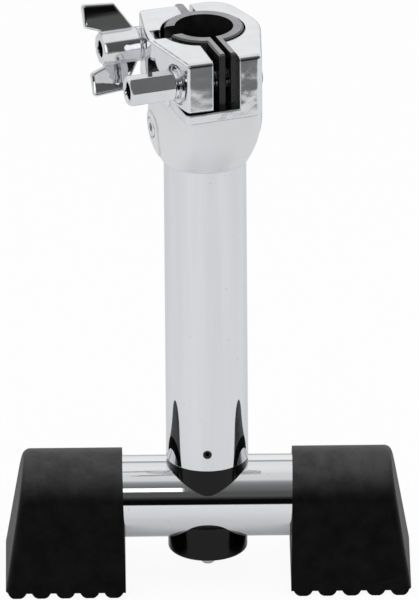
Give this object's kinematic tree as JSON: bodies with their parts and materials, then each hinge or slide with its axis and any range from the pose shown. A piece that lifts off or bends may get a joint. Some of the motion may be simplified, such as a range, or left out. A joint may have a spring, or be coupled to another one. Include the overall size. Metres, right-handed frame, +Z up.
{
  "type": "drum rack stand foot",
  "caption": "T-shaped stand foot: cross tube on two rubber boots, upright leg and a cast split clamp with sleeve, wing nut and long hex nut that grips a vertical post.",
  "frame": {"origin": "on the floor directly under the leg's axis, midway between the two boots", "axes": "+Z up along the leg, X along the cross tube, -Y to the front, where the clamp's slot opens (turned 18.7 degrees towards +X as drawn)"},
  "size_m": [0.1878, 0.0824, 0.2801],
  "materials": {
    "chrome_tube": "polished chrome plate on steel tube",
    "chrome_casting": "chrome plate on a polished zinc casting",
    "chrome_hardware": "chrome plate on steel fasteners",
    "zinc_plug": "bare turned metal",
    "black_oxide": "black oxide steel",
    "boot_rubber": "matt moulded rubber",
    "saddle_plastic": "satin moulded plastic",
    "sleeve_nylon": "satin nylon"
  },
  "bodies": {
    "stand": {"base_tube": "chrome_tube", "foot_left": "boot_rubber", "foot_right": "boot_rubber", "upper_saddle": "saddle_plastic", "lower_saddle": "saddle_plastic", "leg_tube": "chrome_tube", "leg_plug": "zinc_plug", "plug_screw": "black_oxide", "base_bolt": "chrome_hardware", "base_nut": "chrome_hardware", "base_bolt_washer": "black_oxide", "base_bolt_spring_washer": "black_oxide"},
    "head": {"clamp_head": "chrome_casting", "clamp_sleeve": "sleeve_nylon", "head_screw_left": "chrome_hardware", "head_screw_right": "chrome_hardware", "front_bolt": "chrome_hardware", "rear_bolt": "chrome_hardware"},
    "jaw": {"clamp_jaw": "chrome_casting"},
    "front_washers": {"hex_nut_washer": "chrome_hardware", "hex_nut_spring_washer": "chrome_hardware"},
    "long_nut": {"hex_nut": "chrome_hardware"},
    "wing_washer": {"wing_nut_washer": "chrome_hardware"},
    "wing_nut_body": {"wing_nut": "chrome_casting"}
  },
  "joints": [
    {"name": "head_turn", "type": "hinge", "parent": "stand", "child": "head", "pos_m": [0, 0, 0.2091], "axis": [0, 0, 1], "continuous": true},
    {"name": "jaw_close", "type": "hinge", "parent": "head", "child": "jaw", "pos_m": [-0.03175, 0.02145, 0.2601], "axis": [0, 0, 1], "range_deg": [0, 2.85]},
    {"name": "hex_washer_travel", "type": "slide", "parent": "head", "child": "front_washers", "axis": [-0.9472, -0.3206, 0], "range_m": [-0.00243, 0]},
    {"name": "hex_nut_turn", "type": "hinge", "parent": "front_washers", "child": "long_nut", "pos_m": [-0.01944, -0.03614, 0.2601], "axis": [-0.9472, -0.3206, 0], "range_deg": [-700.1, 0]},
    {"name": "wing_washer_travel", "type": "slide", "parent": "head", "child": "wing_washer", "axis": [-0.9472, -0.3206, 0], "range_m": [0, 0.0025]},
    {"name": "wing_nut_turn", "type": "hinge", "parent": "wing_washer", "child": "wing_nut_body", "pos_m": [-0.03563, 0.01169, 0.2601], "axis": [-0.9472, -0.3206, 0], "range_deg": [0, 720.1]}
  ],
  "couplings": [
    {"joint": "hex_nut_turn", "follows": "hex_washer_travel", "rad_per_m": 5026.5},
    {"joint": "jaw_close", "follows": "hex_washer_travel", "rad_per_m": -20.325},
    {"joint": "wing_nut_turn", "follows": "wing_washer_travel", "rad_per_m": 5026.5}
  ]
}
